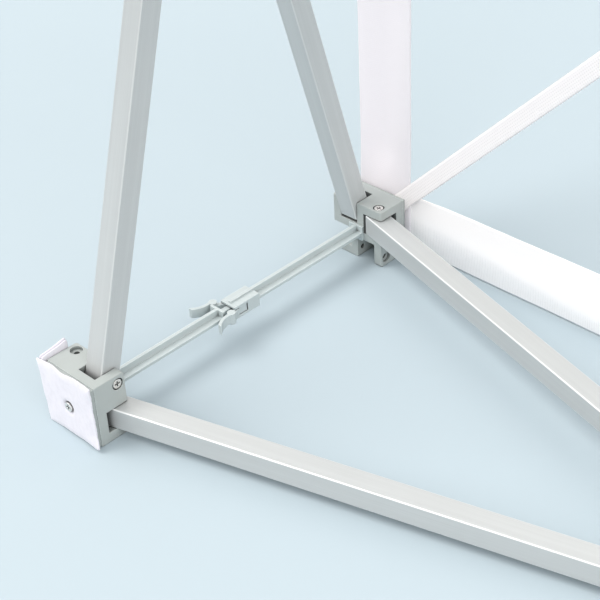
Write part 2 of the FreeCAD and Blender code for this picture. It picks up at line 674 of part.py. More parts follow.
def make_tile(name, side):
    half = "hub_side / 2"
    face = box(name + "_face", mirrored(side, f"-({half} + tile_lip)", f"{half} + flap_thickness"),
               ("-tile_thickness", "0"), (f"tile_gap_below - {half}", f"{half} + tile_lip"))
    flap = box(name + "_flap", mirrored(side, f"{half} + flap_room", f"{half} + flap_thickness"),
               ("-tile_thickness", "flap_length"), (f"2 * tile_gap_below - {half}", f"{half} + flap_rise"))
    hole = rod(name + "_hole", "y", "-tile_thickness - overrun", "overrun", ("0", "0"),
               "counterbore")
    return cut(name, fuse(name + "_blank", [face, flap]), [hole])


for corner in CORNERS:
    if corner[0] == "front":
        title = "_".join(corner[1:])
        tile = make_tile("tile_" + title, -1 if corner[2] == "left" else 1)
        node(title + "_loop_tile", tile, corner_placement(corner))


# Rear bands and webbing, flat on the rear faces of the hubs, one layer on the other

def band_holes(name, places, layer):
    low, high = layer
    return [rod(f"{name}_hole{index}", "y", f"{low} - overrun", f"{high} + overrun", place,
                "band_hole") for index, place in enumerate(places)]


half_pitch = "(hub_pitch / 2)"
bottom_row = "(hub_side / 2)"
top_row = "(hub_side / 2 + hub_pitch)"
outer_edge = "(band_width / 2 - band_shift)"
inner_edge = "(band_width / 2 + band_shift)"
upright_layer = (f"{FACE_REACH} + 2 * webbing_thickness",
                 f"{FACE_REACH} + 2 * webbing_thickness + band_thickness")
level_layer = (f"{FACE_REACH} + 2 * webbing_thickness + band_thickness",
               f"{FACE_REACH} + {BAND_STACK}")

for title, row, inward in (("bottom", bottom_row, 1), ("top", top_row, -1)):
    low, high = (outer_edge, inner_edge) if inward > 0 else (inner_edge, outer_edge)
    strip = box(f"{title}_strip", (f"-{half_pitch} - {outer_edge}", f"{half_pitch} + {outer_edge}"),
                level_layer, (f"{row} - {low}", f"{row} + {high}"))
    holes = band_holes(title + "_strip", [(f"-{half_pitch}", row), (half_pitch, row)], level_layer)
    node(title + "_rear_band", cut(title + "_band", strip, holes))

for side, sign in (("left", -1), ("right", 1)):
    column = half_pitch if sign > 0 else f"-{half_pitch}"
    strip = box(f"{side}_strip", mirrored(sign, f"{half_pitch} - {inner_edge}",
                                          f"{half_pitch} + {outer_edge}"),
                upright_layer, (f"{bottom_row} - {outer_edge}", f"{top_row} + {outer_edge}"))
    holes = band_holes(side + "_strip", [(column, bottom_row), (column, top_row)], upright_layer)
    node(side + "_rear_band", cut(side + "_band", strip, holes))

diagonal_angle = math.degrees(math.atan2(high_level - low_level, mm.hub_pitch))
hub_place = "(hub_pitch / sqrt(2))"
for title, layer_number, rise in (("rising", 0, 1), ("falling", 1, -1)):
    start = f"{layer_number} * webbing_thickness"
    layer = (start, f"{start} + webbing_thickness")
    half_length = f"({hub_place} + webbing_tail)"
    strip = box(title + "_strip", (f"-{half_length}", half_length), layer,
                ("-webbing_width / 2", "webbing_width / 2"))
    holes = band_holes(title + "_strip", [(f"-{hub_place}", "0"), (hub_place, "0")], layer)
    lean = FreeCAD.Rotation(V(0, 1, 0), -rise * diagonal_angle)
    node(title + "_rear_webbing", cut(title + "_webbing", strip, holes),
         FreeCAD.Placement(V(0, face_reach, middle_level), lean))


# Worktop: board, edging and the pads that rest on the four top hubs

def rounded_board(name, shrink):
    """A board with rounded plan corners, smaller all round by the expression shrink."""
    body = doc.addObject("PartDesign::Body", name)
    half_length = f"({WORKTOP_REACH} - {shrink})"
    half_width = f"({WORKTOP_DEPTH} - {shrink})"
    plan = new_sketch(body, name + "_plan", "XY_Plane")
    add_rectangle(plan, f"-{half_length}", half_length, f"-{half_width}", half_width)
    slab = add_feature(body, "Pad", name + "_slab", plan, Length="worktop_thickness")
    round_edges(body, name + "_rounded", slab, f"worktop_corner - {shrink}",
                lambda edge: runs_along(edge, V(0, 0, 1)))
    return body


board_place = FreeCAD.Placement(V(0, 0, frame_top + mm.pad_thickness), FreeCAD.Rotation())
node("worktop_board", rounded_board("board", "edging_thickness"), board_place)
edging = cut("edging_ring", rounded_board("edging_outside", "0"),
             [rounded_board("edging_inside", "edging_thickness")])
node("worktop_edging", edging, board_place)

pads = []
for sx in (-1, 1):
    for sy in (-1, 1):
        row = f"({FACE_REACH} - {HUB_DEPTH} / 2)"
        middle_x = half_pitch if sx > 0 else f"-{half_pitch}"
        middle_y = row if sy > 0 else f"-{row}"
        short = f"({HUB_DEPTH} / 2 - hub_edge)"
        pads.append(box(f"pad_{len(pads)}",
                        (f"{middle_x} - pad_side / 2", f"{middle_x} + pad_side / 2"),
                        (f"{middle_y} - {short}", f"{middle_y} + {short}"),
                        ("hub_side + hub_pitch", "hub_side + hub_pitch + pad_thickness")))
node("worktop_pads", group("pads", pads))


# Check the document, then write each sub-part

doc.recompute()
broken = [item.Name for item in doc.Objects if {"Invalid", "Error"} & set(item.State)]
if broken:
    raise RuntimeError("objects that failed: " + ", ".join(broken))
labels = [item.Label for item in nodes]
if len(set(labels)) != len(labels):
    raise RuntimeError("two sub-parts share a name")
for item in nodes:
    if item.Shape.isNull() or not item.Shape.isValid() or not item.Shape.Solids:
        raise RuntimeError("not a valid solid: " + item.Label)

os.makedirs("parts", exist_ok=True)
for item in nodes:
    item.Shape.exportStep(os.path.join("parts", item.Label + ".step"))
print(len(nodes), "sub-parts written")
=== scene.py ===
"""The looks of a promotion counter frame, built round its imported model.

The frame, its hubs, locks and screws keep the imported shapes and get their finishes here. The
loop tiles, bands, webbing and worktop pads are new pieces, worked out as surfaces with numpy.
Everything is in metres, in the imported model's own frame.
"""

import math

import bmesh
import bpy
import numpy as np
from bpy.props import FloatProperty, FloatVectorProperty, PointerProperty
from mathutils import Matrix, Vector


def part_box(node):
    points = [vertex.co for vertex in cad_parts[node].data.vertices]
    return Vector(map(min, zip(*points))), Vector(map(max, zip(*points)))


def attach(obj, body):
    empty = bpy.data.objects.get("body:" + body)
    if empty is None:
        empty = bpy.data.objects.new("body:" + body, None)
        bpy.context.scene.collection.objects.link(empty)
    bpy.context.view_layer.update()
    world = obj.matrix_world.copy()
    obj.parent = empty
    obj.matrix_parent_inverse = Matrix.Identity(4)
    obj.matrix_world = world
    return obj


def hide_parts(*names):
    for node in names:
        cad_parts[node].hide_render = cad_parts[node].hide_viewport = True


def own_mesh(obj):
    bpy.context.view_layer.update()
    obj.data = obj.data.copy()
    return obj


bl_info = {
    "name": "Promotion Counter Looks",
    "version": (1, 0, 0),
    "blender": (4, 5, 0),
    "location": "View3D > Sidebar > Counter",
    "description": "Finishes, fabric pieces and stage for a pop-up promotion counter",
    "category": "Object",
}

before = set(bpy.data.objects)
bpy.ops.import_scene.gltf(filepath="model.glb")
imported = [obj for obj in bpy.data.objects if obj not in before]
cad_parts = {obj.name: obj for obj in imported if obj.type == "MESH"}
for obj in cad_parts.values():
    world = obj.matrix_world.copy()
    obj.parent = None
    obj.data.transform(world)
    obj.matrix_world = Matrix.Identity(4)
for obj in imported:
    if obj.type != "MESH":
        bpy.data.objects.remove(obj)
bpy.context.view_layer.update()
MM = 0.001
X = np.array([1.0, 0.0, 0.0])
Y = np.array([0.0, 1.0, 0.0])
Z = np.array([0.0, 0.0, 1.0])
SIDES = ("left", "right")
LEVELS = ("bottom", "top")
TURN = 2 * math.pi


def corners(node):
    """The lowest and the highest corner of a node's box."""
    return [np.array(corner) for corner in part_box(node)]


def hub_centre(row, level, side):
    """The middle of a hub's box."""
    return sum(corners(f"{row}_{level}_{side}_hub")) / 2


def tube_frame(node, rounds=20):
    """The way a tube runs, the way its pivots run, its middle and half its side.

    Its box is as long as the tube times the cosine of its slope plus its side times the sine,
    and as deep as the tube times the sine plus its side times the cosine. Taking the side's
    part off both sizes again and again settles on the slope."""
    low, high = corners(node)
    size = high - low
    flat, deep, long_way = np.argsort(size)
    slope = 0.0
    for _ in range(rounds):
        slope = math.atan2(size[deep] - size[flat] * math.cos(slope),
                           size[long_way] - size[flat] * math.sin(slope))
    along = np.zeros(3)
    along[long_way] = math.cos(slope)
    along[deep] = math.sin(slope) * (-1 if "_rear_" in node else 1)
    pivots = np.zeros(3)
    pivots[flat] = 1.0
    return along, pivots, (low + high) / 2, size[flat] / 2


# Material nodes

class Graph:
    """A material's node tree, with one short call for each kind of node that is used here."""

    def __init__(self, name, colour, roughness):
        self.material = bpy.data.materials.new(name)
        self.material.use_nodes = True
        self.nodes = self.material.node_tree.nodes
        self.links = self.material.node_tree.links
        self.shader = self.nodes["Principled BSDF"]
        self.shader.inputs["Base Color"].default_value = (*colour, 1)
        self.shader.inputs["Roughness"].default_value = roughness

    def node(self, kind, inputs=(), **settings):
        made = self.nodes.new(kind)
        for name, value in settings.items():
            setattr(made, name, value)
        for socket, value in dict(inputs).items():
            if isinstance(value, bpy.types.NodeSocket):
                self.links.new(value, made.inputs[socket])
            else:
                made.inputs[socket].default_value = value
        return made

    def place(self, source="Object", scale=(1, 1, 1)):
        """Object or UV coordinates, scaled."""
        return self.scaled(self.node("ShaderNodeTexCoord").outputs[source], scale)

    def scaled(self, place, scale):
        return self.node("ShaderNodeMapping", {0: place, "Scale": scale}).outputs[0]

    def turned(self, axes, middle):
        """Object coordinates measured from a middle along three square axes."""
        turn = Matrix([list(axis) for axis in axes])
        start = -(turn @ Vector(middle))
        coordinates = self.node("ShaderNodeTexCoord").outputs["Object"]
        return self.node("ShaderNodeMapping", {0: coordinates, "Rotation": turn.to_euler(),
                                               "Location": start}).outputs[0]

    def split(self, place):
        return self.node("ShaderNodeSeparateXYZ", {0: place}).outputs

    def noise(self, place, scale, detail=2.0, roughness=0.5):
        return self.node("ShaderNodeTexNoise", {"Vector": place, "Scale": scale, "Detail": detail,
                                                "Roughness": roughness}).outputs["Fac"]

    def sum(self, operation, first, second=0.0):
        return self.node("ShaderNodeMath", {0: first, 1: second}, operation=operation).outputs[0]

    def times(self, first, second):
        return self.sum("MULTIPLY", first, second)

    def between(self, value, low, high, start=0.0, end=1.0):
        """A value stretched smoothly from low and high to start and end, and held there."""
        return self.node("ShaderNodeMapRange", {0: value, 1: low, 2: high, 3: start, 4: end},
                         interpolation_type="SMOOTHSTEP").outputs[0]

    def mix(self, share, first, second):
        """A colour between two colours."""
        def wide(colour):
            return colour if isinstance(colour, bpy.types.NodeSocket) else (*colour, 1)
        inputs = {0: share, 6: wide(first), 7: wide(second)}
        return self.node("ShaderNodeMix", inputs, data_type="RGBA").outputs[2]

    def wave(self, value, spacing):
        """A sine wave of a value, once round in each spacing."""
        return self.sum("SINE", self.times(value, TURN / spacing))

    def bump(self, height, distance, strength=1.0, under=None):
        inputs = {"Height": height, "Distance": distance, "Strength": strength}
        if under is not None:
            inputs["Normal"] = under
        return self.node("ShaderNodeBump", inputs).outputs[0]

    def soft_edges(self, radius):
        """The surface's normal, rounded at edges, as a moulding's or a pressing's are."""
        return self.node("ShaderNodeBevel", {"Radius": radius}, samples=6).outputs[0]

    def edge_share(self, radius):
        """1 along sharp edges, falling to 0 at the flat faces."""
        flat = self.node("ShaderNodeNewGeometry").outputs["Normal"]
        along = self.node("ShaderNodeVectorMath", {0: self.soft_edges(radius), 1: flat},
                          operation="DOT_PRODUCT")
        return self.between(along.outputs["Value"], 0.72, 0.995, 1.0, 0.0)

    def openness(self, reach):
        """1 on open faces, less in gaps and holes narrower than the reach."""
        return self.node("ShaderNodeAmbientOcclusion", {"Distance": reach}, samples=8).outputs["AO"]

    def use(self, socket, value):
        self.links.new(value, self.shader.inputs[socket])

    def set(self, **values):
        for socket, value in values.items():
            self.shader.inputs[socket.replace("_", " ")].default_value = value


def tint(colour, factor):
    """A lighter or darker version of a colour."""
    return [min(1.0, channel * factor) for channel in colour]


def dress(node, material):
    """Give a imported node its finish."""
    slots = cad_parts[node].material_slots
    if not slots:
        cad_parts[node].data.materials.append(material)
    for slot in slots:
        slot.material = material


def dress_all(ending, material):
    """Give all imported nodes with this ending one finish."""
    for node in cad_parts:
        if node.endswith(ending):
            dress(node, material)


# Surfaces

def surface(name, points, uv, material, around=False, along_closed=False, capped=False):
    """A mesh from a grid of points, rows by columns. around joins the last column to the
    first, along_closed joins the last row to the first, and capped closes the first and last
    rows with one face each. uv has the same grid, in metres."""
    rows, columns = points.shape[:2]
    index = np.arange(rows * columns).reshape(rows, columns)
    first = index if along_closed else index[:-1]
    below = np.roll(index, -1, 0) if along_closed else index[1:]
    if around:
        corners = [first, np.roll(first, -1, 1), np.roll(below, -1, 1), below]
    else:
        corners = [first[:, :-1], first[:, 1:], below[:, 1:], below[:, :-1]]
    faces = np.stack(corners, -1).reshape(-1, 4).tolist()
    if capped:
        faces += [index[0].tolist(), index[-1].tolist()]
    mesh = bpy.data.meshes.new(name)
    mesh.from_pydata(points.reshape(-1, 3).tolist(), [], faces)
    layer = mesh.uv_layers.new(name="cut")
    order = np.zeros(len(mesh.loops), np.int32)
    mesh.loops.foreach_get("vertex_index", order)
    layer.data.foreach_set("uv", uv.reshape(-1, 2)[order].astype(np.float32).ravel())
    mesh.polygons.foreach_set("use_smooth", [len(face) == 4 for face in faces])
    mesh.materials.append(material)
    if around:
        point_outwards(mesh)
    mesh.update()
    made = bpy.data.objects.new(name, mesh)
    bpy.context.scene.collection.objects.link(made)
    return made


def point_outwards(mesh):
    """Turn a closed mesh's faces outwards."""
    work = bmesh.new()
    work.from_mesh(mesh)
    bmesh.ops.recalc_face_normals(work, faces=work.faces)
    work.to_mesh(mesh)
    work.free()


def thicken(piece, thickness):
    """Give a single sheet its thickness, half on each side."""
    wall = piece.modifiers.new("thickness", "SOLIDIFY")
    wall.thickness = thickness
    wall.offset = 0


def smooth_step(value, low, high):
    """0 below low, 1 above high, with level ends."""
    share = np.clip((value - low) / (high - low), 0, 1)
    return share * share * (3 - 2 * share)


def hump(value, middle, reach):
    """1 at the middle, falling to almost 0 at about twice the reach."""
    return np.exp(-((value - middle) / reach) ** 2)


def strip(name, start, along, across, out, size, counts, stand_off, edge, material, outer=-1):
    """A strip of cloth on a grid of distance along it and share across it, from -1 to 1.

    A point is the start, plus its distance along, plus half the width times its share across,
    plus the stand-off there along the outward direction. edge says how far the long edges
    wander. In its cut, the outer edge of the strip is the negative one."""
    length, width = size
    distance = np.linspace(0, length, counts[0])[:, None]
    side = np.linspace(-1, 1, counts[1])[None, :]
    reach = side * (width / 2 + edge(distance, side))
    depth = stand_off(distance, side)
    points = (start + distance[..., None] * along + reach[..., None] * across
              + depth[..., None] * out)
    flat = np.stack(np.broadcast_arrays(distance, -outer * side * width / 2), -1)
    return surface(name, points, flat, material)


# Settings

def number(name, description, default, **limits):
    return FloatProperty(name=name, description=description, default=default, **limits)


def length(name, description, default):
    """A length setting, given in millimetres."""
    return number(name, description, default * MM, unit="LENGTH")


def angle(name, description, default):
    """An angle setting, given in degrees."""
    return number(name, description, math.radians(default), subtype="ANGLE")


def share(name, description, default):
    return number(name, description, default, min=0.0, max=1.0)


def colour(name, description, default):
    return FloatVectorProperty(name=name, description=description, subtype="COLOR", default=default)


def heading(name, description, default):
    return FloatVectorProperty(name=name, description=description, subtype="DIRECTION", default=default)


class TubeLooks(bpy.types.PropertyGroup):
    """Square tubes."""
    colour: colour("Colour", "Anodised aluminium", (0.505, 0.53, 0.535))
    # Painted highlights along the tubes' corners, lighter on level tubes than on leaning ones.
    level_corner_highlight: colour("Level corner", "Line along a level tube's corner", (0.82, 0.84, 0.85))
    leaning_corner_highlight: colour("Leaning corner", "Line along a leaning tube's corner", (0.60, 0.62, 0.62))
    metal: share("Metal", "Share of metallic reflection", 0.2)
    roughness: share("Roughness", "Satin of the anodising", 0.42)
    line_spacing: length("Line spacing", "Between the drawn lines", 0.45)
    streaks: number("Streaks", "Broad streaks in a metre across", 90.0)
    streak_run: number("Streak run", "Broad streaks in a metre along", 3.0)
    clouds: number("Clouds", "Faint clouds in a metre across", 40.0)
    cloud_run: number("Cloud run", "Faint clouds in a metre along", 14.0)
    shadow: length("Shadow", "How near a socket darkens a tube", 12.0)
    # Width of the painted corner highlight on each face.
    corner: length("Corner", "Width of the bright corner on each face", 0.95)


class HubLooks(bpy.types.PropertyGroup):
    """Moulded hubs."""
    colour: colour("Colour", "Moulded plastic", (0.38, 0.418, 0.412))
    roughness: share("Roughness", "Satin of the moulding", 0.5)
    grain: length("Grain", "Size of the mould's fine grain", 0.35)
    clouds: number("Clouds", "Flow clouds in a metre", 55.0)
    edge: length("Edge", "Rounding of the moulded edges", 0.7)
    # Painted shade darkens steps and joints this fine.
    crevice: length("Crevice", "Steps and joints this fine are dark", 1.1)
    recess: length("Recess", "Holes narrower than this lie in shade", 14.0)
    open_skin: length("Open skin", "Depth from the faces that stays unshaded", 4.2)


class LockLooks(bpy.types.PropertyGroup):
    """Tie rods and their locks."""
    colour: colour("Colour", "Milky moulded plastic", (0.46, 0.52, 0.53))
    roughness: share("Roughness", "Gloss of the moulding", 0.34)
    grain: length("Grain", "Size of the mould's fine grain", 0.5)
    clouds: number("Clouds", "Flow clouds in a metre", 55.0)
    edge: length("Edge", "Rounding of the moulded edges", 0.55)
    # Painted shade darkens steps and joints this fine.
    crevice: length("Crevice", "Steps and joints this fine are dark", 0.8)
    recess: length("Recess", "Gaps narrower than this lie in shade", 6.0)
    open_skin: length("Open skin", "Depth from the faces that stays unshaded", 0.0)


class ScrewLooks(bpy.types.PropertyGroup):
    """Screws and rivets."""
    colour: colour("Colour", "Bright plated steel", (0.80, 0.79, 0.76))
    marks: number("Marks", "Tool marks in a metre", 2600.0)
    edge: length("Edge", "Rounding of the heads", 0.6)
    recess: length("Recess", "Gaps narrower than this lie in shade", 1.2)


class TileLooks(bpy.types.PropertyGroup):
    """Loop tiles on the front hubs."""
    colour: colour("Colour", "White loop cloth", (0.735, 0.725, 0.79))
    nap: number("Nap", "Fibres of the nap in a metre", 1500.0)
    tufts: number("Tufts", "Tufts in a metre", 330.0)
    wear: number("Wear", "Lighter patches in a metre", 60.0)
    relief: length("Relief", "Height of the nap", 0.15)
    thickness: length("Thickness", "Thickness of the cloth", 1.5)
    crown: length("Crown", "How far the middle stands above the edges", 0.5)
    roll: length("Roll", "Width of the rounding along the edges", 4.0)
    screw_well: length("Screw well", "Radius of the hole for the screw", 4.1)
    dimple: length("Dimple", "Depth that the screw pulls the cloth in", 1.2)
    dimple_reach: length("Dimple reach", "Width of that hollow", 3.6)
    stand: length("Stand", "Upper edge above the hub", 2.6)
    dip: length("Dip", "Sag of the upper edge near its middle", 2.0)
    lip: length("Lip", "Inner edge past the hub", 1.3)
    hang: length("Hang", "Lower edge above the hub's bottom", 0.5)
    lift: length("Lift", "Lower edge's rise to the inner side", 2.6)
    slant: length("Slant", "Outer edge's lean inwards at the bottom", 4.6)
    arch: length("Arch", "Lower edge drawn up near the fold", 0.6)
    fold_rise: length("Fold rise", "Rise of a lower fold towards its rear", 3.2)
    fray: length("Fray", "Waver of the cut edges", 0.22)
    bow: length("Bow", "Inner edge drawn in at half height", 1.3)
    kick: length("Kick", "Lower inner corner past the inner edge", 1.5)
    flare: length("Flare", "Lower inner corner off the hub", 1.0)
    flare_reach: length("Flare reach", "Size of that corner", 10.0)
    layer: length("Layer", "Thickness of each layer of the fold", 2.05)
    layer_gap: length("Layer gap", "Between the layers of the fold", 0.15)


class BandLooks(bpy.types.PropertyGroup):
    """Loop bands across the rear."""
    level_colour: colour("Level colour", "Loop fabric of the level bands", (0.97, 0.96, 0.97))
    # The upright bands are the same loop fabric as the level bands; their darker colour is painted
    # shade.
    upright_shaded_colour: colour("Upright colour", "Loop fabric of the upright bands", (0.82, 0.79, 0.83))
    # Painted shade along the curled outer edge of a level band.
    edge_shade_colour: colour("Hem", "Shaded cut edge", (0.42, 0.47, 0.52))
    rib: length("Rib", "Spacing of the ribs", 1.5)
    wander: number("Wander", "Bends of a rib in a metre", 140.0)
    nap: number("Nap", "Fibres of the nap in a metre", 1900.0)
    tufts: number("Tufts", "Tufts in a metre", 420.0)
    # Width of the painted shade line along a level band's outer edge.
    edge_shade_width: length("Hem width", "Width of the cut edge", 0.9)
    thickness: length("Thickness", "Thickness of the band", 0.9)
    valley: length("Valley", "Depth of the soft fold in an upright band", 3.4)
    curl: length("Curl", "How far a level band's outer edge curls back", 3.8)
    lean: length("Lean", "How far a level band's inner edge leans back", 2.4)
    clamped: length("Clamped", "Length held flat on a hub", 47.0)
    easing: length("Easing", "Length over which a fold opens", 36.0)
    crease_run: length("Crease run", "Length over which the curl narrows", 230.0)
    sway: length("Sway", "Long soft waves", 0.4)
    sway_length: length("Sway length", "Length of those waves", 75.0)
    waver: length("Waver", "Waver of the long edges", 0.12)
    waver_length: length("Waver length", "Length of that waver", 15.0)


class WebbingLooks(bpy.types.PropertyGroup):
    """Diagonal webbing."""
    colour: colour("Colour", "White webbing", (0.95, 0.92, 0.93))
    yarn: number("Yarn", "Yarns in a metre", 1600.0)
    pitch: length("Pitch", "Spacing of the holes", 1.9)
    scallop_pitch: length("Scallop pitch", "Spacing of the looped lower edge", 2.6)
    scallop: length("Scallop", "Depth of the looped edge", 0.6)
    closed: length("Closed", "Width of the closed edge", 1.6)
    thickness: length("Thickness", "Thickness of the webbing", 0.5)
    tail: length("Tail", "Webbing past a hub's centre", 20.0)


class WorktopLooks(bpy.types.PropertyGroup):
    """Worktop, its edging and its pads."""
    colour: colour("Colour", "Laminate", (0.46, 0.47, 0.475))
    pearls: number("Pearls", "Pearl grains in a metre", 900.0)
    clouds: number("Clouds", "Faint clouds in a metre", 7.0)
    specks: number("Specks", "Small specks in a metre", 2200.0)
    relief: length("Relief", "Height of the pearl grains", 0.03)
    edging: colour("Edging", "Edging strip", (0.45, 0.47, 0.48))
    edging_grain: length("Edging grain", "Fine texture of the edging", 0.6)
    edging_edge: length("Edging edge", "Rounding of the edging", 0.4)
    pad_bulge: length("Pad bulge", "Bulge of a pad's sides", 0.5)
    pad_ease: length("Pad ease", "Clearance over and under a pad", 0.05)


class StageLooks(bpy.types.PropertyGroup):
    """Floor, light and camera."""
    floor: colour("Floor", "Pale floor", (0.432, 0.516, 0.565))
    surround: colour("Surround", "Pale backdrop that the camera sees", (0.70, 0.83, 0.90))
    tone: colour("Tone", "Slight warmth of all the lights", (1.0, 0.97, 0.945))
    floor_side: length("Floor side", "Side of the square floor", 14000.0)
    floor_gap: length("Floor gap", "Floor under the hubs", 0.05)
    floor_clouds: number("Floor clouds", "Faint clouds of the floor in a metre", 2.2)
    key_strength: number("Key", "Strength of the key light", 1.65)
    key_softness: angle("Key softness", "Width of the key light", 34)
    key_direction: heading("Key direction", "Towards the key light", (-0.40, -0.39, 0.82))
    fill_strength: number("Fill", "Strength of the broad light", 1.6)
    fill_softness: angle("Fill softness", "Width of the broad light", 70)
    fill_direction: heading("Fill direction", "Towards the broad light", (0.72, -0.38, 0.58))
    sky_strength: number("Sky", "Strength of the light overhead", 1.45)
    horizon: share("Horizon", "Light at the horizon", 0.06)
    brightest: share("Brightest", "Height of the sky's lightest part", 0.7)
    zenith: share("Zenith", "Light straight overhead", 0.6)
    lens: number("Lens", "Focal length in millimetres", 85.26)
    sensor: number("Sensor", "Width of the camera's sensor in millimetres", 36.0)
    nearest: length("Nearest", "Distance from which the camera sees", 10.0)


LOOKS = {
    "counter_tubes": TubeLooks,
    "counter_hubs": HubLooks,
    "counter_locks": LockLooks,
    "counter_screws": ScrewLooks,
    "counter_tiles": TileLooks,
    "counter_bands": BandLooks,
    "counter_webbing": WebbingLooks,
    "counter_worktop": WorktopLooks,
    "counter_stage": StageLooks,
}


# Finishes

def aluminium(node, looks):
    """Satin anodised aluminium: fine drawn lines along the tube, faint longer streaks, a painted
    highlight with a smoother finish along each rounded corner, lighter on level tubes than on
    leaning ones, and painted shade at the end where the tube dips into its socket."""
    along, pivots, middle, half = tube_frame(node)
    made = Graph(node + "_satin", looks.colour, looks.roughness)
    made.set(Metallic=looks.metal)
    place = made.turned((along, np.cross(pivots, along), pivots), middle)
    parts = made.split(place)
    fine = 1 / looks.line_spacing
    lines = made.noise(made.scaled(place, (fine / 300, fine, fine)), 1.0, 3.0, 0.62)
    broad = made.noise(made.scaled(place, (looks.streak_run, looks.streaks, looks.streaks)), 1.0, 2.0)
    cloud = made.noise(made.scaled(place, (looks.cloud_run, looks.clouds, looks.clouds)), 1.0, 2.0)
    streaks = made.sum("ADD", made.times(lines, 0.5), made.times(broad, 0.35))
    light = made.between(made.sum("ADD", streaks, made.times(cloud, 0.15)), 0.36, 0.64)
    drawn = made.mix(light, tint(looks.colour, 0.95), tint(looks.colour, 1.05))
    # Painted shade: darker where the tube is enclosed by its socket.
    in_open = made.between(made.openness(looks.shadow), 0.1, 0.7)
    body = made.mix(in_open, tint(looks.colour, 0.3), drawn)
    # Painted highlight: a lighter colour along each rounded corner of the tube.
    rounded = (half - looks.corner, half - looks.corner / 2)
    at_side = made.between(made.sum("ABSOLUTE", parts[1]), *rounded)
    at_pivot = made.between(made.sum("ABSOLUTE", parts[2]), *rounded)
    corner = made.times(at_side, at_pivot)
    corner_highlight_colour = looks.level_corner_highlight if abs(along[0]) > abs(along[2]) else looks.leaning_corner_highlight
    made.use("Base Color", made.mix(corner, body, corner_highlight_colour))
    rough = made.between(lines, 0.25, 0.75, looks.roughness - 0.05, looks.roughness + 0.08)
    made.use("Roughness", made.sum("SUBTRACT", rough, made.times(corner, 0.12)))
    made.use("Normal", made.bump(lines, looks.line_spacing / 40, 0.4))
    return made.material


def moulded(name, looks, cloudiness, edge_highlight, shade):
    """Moulded plastic: fine spark grain, faint flow clouds, rounded edges with a painted highlight
    along them, painted shade as a thin dark line in fine steps and joints, and painted shade in
    narrow holes and gaps, apart from the skin that lies in the open."""
    made = Graph(name, looks.colour, looks.roughness)
    spark = made.noise(made.place(), 1 / looks.grain, 2.0, 0.6)
    clouds = made.noise(made.place(), looks.clouds, 3.0)
    base = made.mix(made.between(clouds, 0.3, 0.7), tint(looks.colour, 1 - cloudiness),
                    tint(looks.colour, 1 + cloudiness))
    # Painted highlight: edges lighter than the faces.
    lit = made.mix(made.edge_share(looks.edge), base, tint(looks.colour, edge_highlight))
    # Painted shade: a thin dark line where fine steps and joints are enclosed.
    crevice_shade = made.between(made.openness(looks.crevice), 0.25, 0.7)
    lit = made.mix(crevice_shade, tint(looks.colour, 0.6), lit)
    # Painted shade in narrow holes and gaps, except on the skin near the outer faces.
    hollow = made.between(made.openness(looks.recess), 0.1, 0.55)
    if looks.open_skin > 0:
        depth = made.sum("ABSOLUTE", made.split(made.place())[1])
        face = corners("rear_bottom_left_hub")[1][1]
        skin = made.between(depth, face - looks.open_skin, face - looks.open_skin * 0.8)
        hollow = made.sum("MAXIMUM", hollow, skin)
    made.use("Base Color", made.mix(hollow, tint(looks.colour, shade), lit))
    rough = made.between(spark, 0.3, 0.7, looks.roughness - 0.06, looks.roughness + 0.06)
    made.use("Roughness", rough)
    made.use("Normal", made.bump(spark, looks.grain / 16, 0.35, made.soft_edges(looks.edge)))
    return made.material


def plated(name, looks):
    """Bright plated steel with fine tool marks, rounded heads and painted shade in recesses."""
    made = Graph(name, looks.colour, 0.22)
    made.set(Metallic=0.85)
    marks = made.noise(made.place(), looks.marks, 2.0)
    # Painted shade: recesses darkened by how enclosed they are.
    hollow = made.between(made.openness(looks.recess), 0.4, 0.9)
    made.use("Base Color", made.mix(hollow, tint(looks.colour, 0.08), looks.colour))
    made.use("Roughness", made.between(marks, 0.3, 0.7, 0.16, 0.32))
    made.use("Normal", made.bump(marks, looks.edge / 50, 0.3, made.soft_edges(looks.edge)))
    return made.material


def ribbed_loop(name, looks, tone, width, curl_shade, rib_shade):
    """White loop fabric: fine ribs across the band and a soft nap. Where the band curls back,
    painted shade darkens its ribs and a painted shade line runs along its outer cut edge. The
    pattern follows the band's own cut, in metres, where the outer edge is the negative one."""
    made = Graph(name, tone, 0.85)
    made.set(Sheen_Weight=0.5, Sheen_Roughness=0.5, Specular_IOR_Level=0.2)
    parts = made.split(made.place("UV"))
    wander = made.noise(made.place("UV"), looks.wander, 2.0)
    along = made.sum("ADD", parts[0], made.times(wander, looks.rib / 2))
    ribs = made.between(made.wave(along, looks.rib), -1.0, 0.3)
    nap = made.noise(made.place("UV", (1.0, 0.6, 1.0)), looks.nap, 3.0, 0.65)
    tufts = made.noise(made.place("UV", (1.0, 0.35, 1.0)), looks.tufts, 2.0)
    shade = rib_shade
    # Painted shade: darker ribs on the part of a level band that curls back.
    if curl_shade > 0:
        crease = made.between(parts[0], looks.clamped, looks.crease_run, width * 0.08, -width * 0.27)
        past = made.sum("SUBTRACT", parts[1], crease)
        under = made.between(past, -width * 0.06, width * 0.06, 1.0, 0.0)
        shade = made.sum("ADD", made.times(under, curl_shade), rib_shade)
    groove = made.times(made.sum("SUBTRACT", 1.0, ribs), shade)
    patchy = made.times(groove, made.between(tufts, 0.25, 0.6, 0.35, 1.0))
    body = made.mix(patchy, tone, tint(tone, 0.5))
    cloth = made.mix(made.between(nap, 0.3, 0.6), tint(tone, 0.97), body)
    if curl_shade > 0:
        # Painted shade: a dark line along the curled band's outer cut edge.
        edge = looks.edge_shade_width - width / 2
        cut = made.between(parts[1], edge, edge + looks.edge_shade_width * 0.6, 1.0, 0.0)
        cloth = made.mix(cut, cloth, looks.edge_shade_colour)
    made.use("Base Color", cloth)
    height =made.sum("ADD", made.times(ribs, 0.6), made.times(nap, 0.4))
    made.use("Normal", made.bump(height, looks.rib / 10, 0.4))
    return made.material


